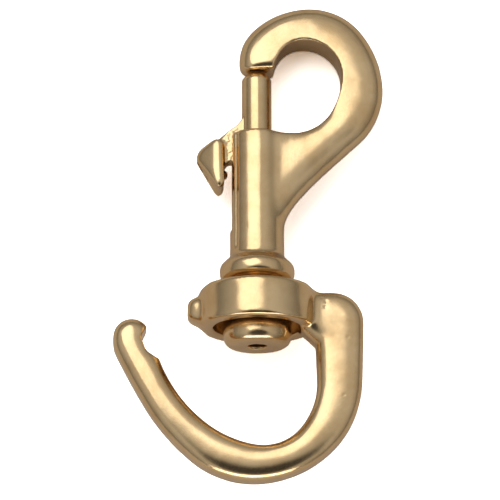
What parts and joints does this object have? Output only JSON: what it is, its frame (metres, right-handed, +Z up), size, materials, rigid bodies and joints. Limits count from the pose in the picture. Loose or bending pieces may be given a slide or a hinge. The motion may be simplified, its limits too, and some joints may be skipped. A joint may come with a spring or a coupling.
{
  "type": "cold shut snap",
  "caption": "Brass swivel bolt snap: a sprung bolt closes a cast hook, and a ring that turns on its stem carries an open loop to be hammered shut.",
  "frame": {"origin": "middle of the bounding box of the snap as it lies, on the table's surface", "axes": "+Y runs from the open loop to the hook, +X points to the side that the hook's arm is on, +Z is up; the swivel axis dips 7.6 degrees towards the hook"},
  "size_m": [0.0542, 0.0984, 0.0241],
  "materials": {
    "cast_brass": "tumbled satin cast brass",
    "spring_wire": "drawn phosphor bronze wire"
  },
  "bodies": {
    "body": {"snap_body": "cast_brass", "bolt_spring": "spring_wire"},
    "bolt": {"bolt": "cast_brass"},
    "eye": {"swivel_eye": "cast_brass"}
  },
  "joints": [
    {"name": "bolt_slide", "type": "slide", "parent": "body", "child": "bolt", "axis": [0, -0.9913, 0.132], "range_m": [0, 0.0115], "stiffness_N_per_m": 400, "springref_m": -0.01, "deforming": ["bolt_spring"]},
    {"name": "eye_swivel", "type": "hinge", "parent": "body", "child": "eye", "pos_m": [0.00151, -0.01809, 0.01258], "axis": [0, 0.9913, -0.132], "continuous": true}
  ]
}
